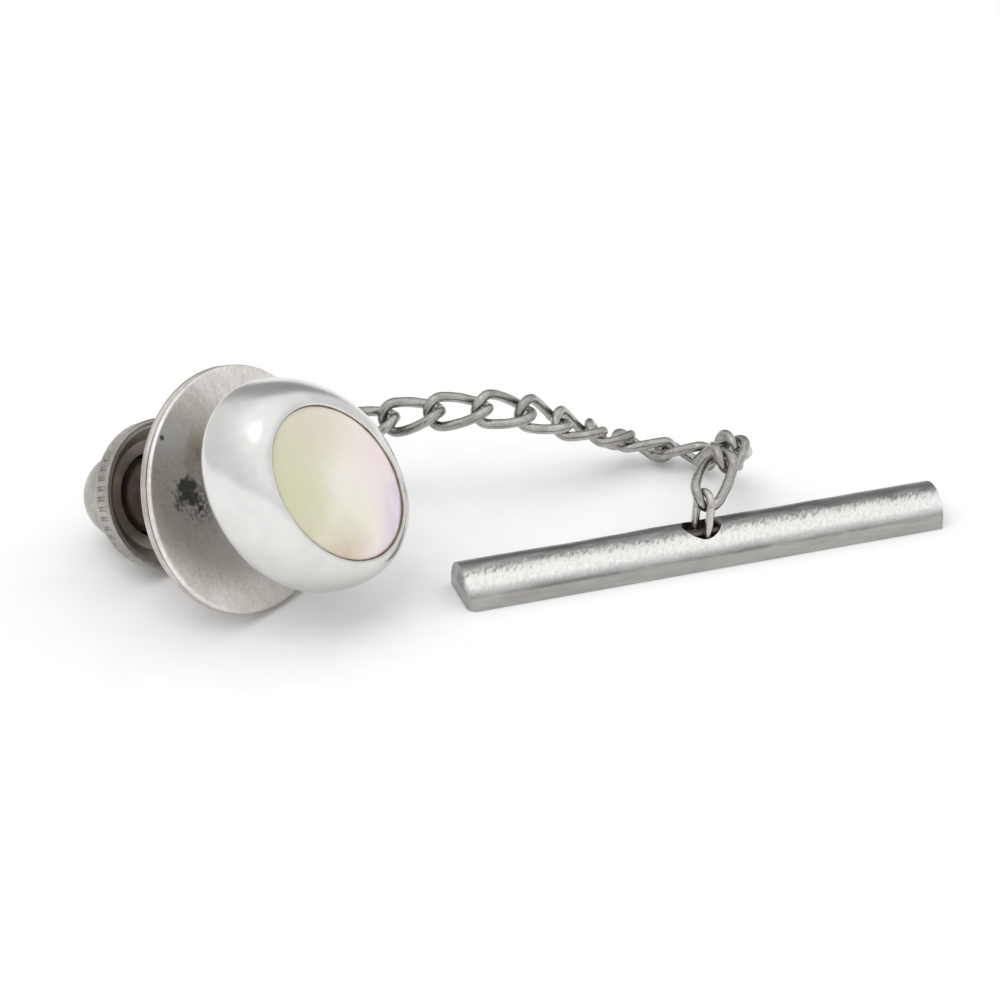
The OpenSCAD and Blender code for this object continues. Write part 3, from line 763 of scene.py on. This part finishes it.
def hand_worn(x, y, z):
    """A point of the bar's skin, moved in a little by slow waves and a fine peel. The bottom stays flat."""
    wave = noise.noise(Vector((x * 0.5, y * 0.6, z * 0.6))) * 0.02
    peel = noise.noise(Vector((x * 3.3, y * 3.3, z * 3.3))) * 0.003
    grow = 1 - (0.012 + wave + peel) if z > 0.02 else 1
    return x, y * grow, z * grow


def room_shape():
    """The room inside the bar, open at the bottom."""
    points = []
    for x in (BAR_X0 + END_WALL, BAR_X1 - BAR_WALL):
        for k in range(ROOM_STEPS + 1):
            y, z = loaf(k / ROOM_STEPS, BAR_WALL)
            points.append((x, y, z - (0.05 if z < 0.01 else 0)))
    return points, flipped(grid_faces(2, ROOM_STEPS + 1) + end_caps(2, ROOM_STEPS + 1))


def hole_shape():
    """The hole in the crest, with a worn edge that widens at the top."""
    profile = [(HOLE_R, 0.6), (HOLE_R, 1.36), (HOLE_R + 0.05, 1.52), (HOLE_R + 0.22, 1.75)]
    turn = np.linspace(0, 2 * math.pi, HOLE_STEPS, endpoint=False)
    points = [(r * math.cos(a), r * math.sin(a), z) for r, z in profile for a in turn]
    return points, grid_faces(len(profile), HOLE_STEPS) + end_caps(len(profile), HOLE_STEPS)


def corner_shape():
    """What lies outside the round of the front left corner."""
    front, far = -BAR_W / 2, 0.5
    plan = [(BAR_X0 - far, front + CORNER_R), (BAR_X0 - far, front - far), (BAR_X0 + CORNER_R, front - far)]
    plan += arc((BAR_X0 + CORNER_R, front + CORNER_R), CORNER_R, 270, 180, 16)
    points = [(x, y, z) for z in (-far, BAR_H + far) for x, y in plan]
    return points, grid_faces(2, len(plan)) + end_caps(2, len(plan))


def cut_away(obj, points, faces):
    """Takes a closed shape, given in the bar's own millimetres, out of an object's mesh."""
    cutter = bpy.data.objects.new("cutter", solid_mesh("cutter", bar_place(points), faces))
    bpy.context.scene.collection.objects.link(cutter)
    cut = obj.modifiers.new("cut", "BOOLEAN")
    cut.operation, cut.solver, cut.object = "DIFFERENCE", "EXACT", cutter
    bpy.context.view_layer.update()
    result = bpy.data.meshes.new_from_object(obj.evaluated_get(bpy.context.evaluated_depsgraph_get()))
    obj.modifiers.clear()
    obj.data = result
    bpy.data.objects.remove(cutter)


# ---- the CAD nodes that stay as they are ----

KEPT = {"head_back": SILVER, "pin_post": STEEL, "pin_base": STEEL, "ball_cage": DARK_PLATE, "ball_a": STEEL,
        "ball_b": STEEL, "ball_c": STEEL, "bar_back": BAR, "anchor_pin": PAINTED_SHADE_HOLE_STEEL}


def dress_kept_nodes():
    """Gives the pieces that are drawn straight from the CAD their materials."""
    for node, material in KEPT.items():
        mesh = frame["nodes"][node].data
        mesh.materials.clear()
        mesh.materials.append(material)


# ---- light, floor and camera ----

def area_light(name, place, aim, size, brightness):
    """A softbox; brightness is how bright its face looks, where the white paper is about 1."""
    data = bpy.data.lights.new(name, "AREA")
    data.shape, data.size, data.size_y = "RECTANGLE", size[0], size[1]
    data.energy = brightness * math.pi * size[0] * size[1]
    lamp = bpy.data.objects.new(name, data)
    lamp.location = place
    lamp.rotation_euler = (Vector(aim) - Vector(place)).to_track_quat("-Z", "Y").to_euler()
    bpy.context.scene.collection.objects.link(lamp)
    return lamp


FLOOR_GAP = 0.00003     # metres, so that the paper never shows through a flat underside


def build_stage():
    """A wide sheet of plain pale paper."""
    floor = bpy.data.meshes.new("floor")
    half = 3.0
    corners = [(-half, -half, 0), (half, -half, 0), (half, half, 0), (-half, half, 0)]
    floor.from_pydata(corners, [], [(0, 1, 2, 3)])
    s = Shader("floor_paper", metallic=0.0)
    grain = s.noise(0.6, 4, 0.6)
    floor.materials.append(s.done(s.ramp(grain, (0.3, 0.90), (0.7, 0.92)), 0.9, None))
    obj = bpy.data.objects.new("floor", floor)
    obj.location.z = -FLOOR_GAP
    bpy.context.scene.collection.objects.link(obj)


WORLD_GREY = 0.80
# soft patches of the room: direction, how far off they start and finish (as a cosine), grey
WORLD_PATCHES = [((0.15, -0.30, 0.94), 0.20, 0.90, 1.10), ((-0.10, -0.35, 0.93), 0.955, 0.996, 2.0),
                 ((0.0, 0.95, 0.30), 0.78, 0.97, 0.36)]


def build_world():
    """A bright room: a brighter ceiling with one lamp in front, and a dark patch low behind the piece."""
    world = bpy.data.worlds.new("studio")
    bpy.context.scene.world = world
    world.use_nodes = True
    nodes, links = world.node_tree.nodes, world.node_tree.links
    background = nodes["Background"]
    place = nodes.new("ShaderNodeTexCoord")
    grey = WORLD_GREY
    for direction, start, finish, patch_grey in WORLD_PATCHES:
        dot = nodes.new("ShaderNodeVectorMath")
        dot.operation = "DOT_PRODUCT"
        dot.inputs[1].default_value = unit(np.array(direction))
        links.new(place.outputs["Generated"], dot.inputs[0])
        edge = nodes.new("ShaderNodeMapRange")
        edge.interpolation_type = "SMOOTHSTEP"
        edge.inputs["From Min"].default_value, edge.inputs["From Max"].default_value = start, finish
        links.new(dot.outputs["Value"], edge.inputs["Value"])
        mix = nodes.new("ShaderNodeMix")
        if hasattr(grey, "is_linked"):
            links.new(grey, mix.inputs["A"])
        else:
            mix.inputs["A"].default_value = grey
        mix.inputs["B"].default_value = patch_grey
        links.new(edge.outputs["Result"], mix.inputs["Factor"])
        grey = mix.outputs["Result"]
    links.new(grey, background.inputs["Color"])


def build_light():
    """The room, and one soft key light from the upper left that the metal doesn't mirror."""
    build_world()
    key = area_light("key", (-0.10, -0.12, 0.28), (0, 0, 0), (0.24, 0.18), 1.6)
    key.visible_glossy = False


CAMERA_DISTANCE, CAMERA_ELEVATION = 110.0, 30.0
CAMERA_SHIFT_RIGHT, CAMERA_SHIFT_DOWN = 10.45, 0.45
CAMERA_LENS = 97.0


def build_camera():
    """Looks down at the piece by CAMERA_ELEVATION degrees, shifted so that the whole of it is in view."""
    e = math.radians(CAMERA_ELEVATION)
    forward, up = np.array([0, math.cos(e), -math.sin(e)]), np.array([0, math.sin(e), math.cos(e)])
    place = DISC - CAMERA_DISTANCE * forward - CAMERA_SHIFT_DOWN * up
    place[0] += CAMERA_SHIFT_RIGHT
    data = bpy.data.cameras.new("camera")
    data.lens, data.sensor_width = CAMERA_LENS, 36.0
    data.clip_start, data.clip_end = 0.005, 10
    camera = bpy.data.objects.new("camera", data)
    camera.location = place * MM
    camera.rotation_euler = (math.radians(90 - CAMERA_ELEVATION), 0, 0)
    bpy.context.scene.collection.objects.link(camera)
    bpy.context.scene.camera = camera


build_bezel()
build_pearl()
build_seam()
build_front_plate()
build_back_plate()
build_cap()
build_liner()
build_barrel()
build_spring()
build_chain()
build_bar()
dress_kept_nodes()
build_stage()
build_light()
build_camera()
bpy.context.scene.view_settings.view_transform = "Standard"
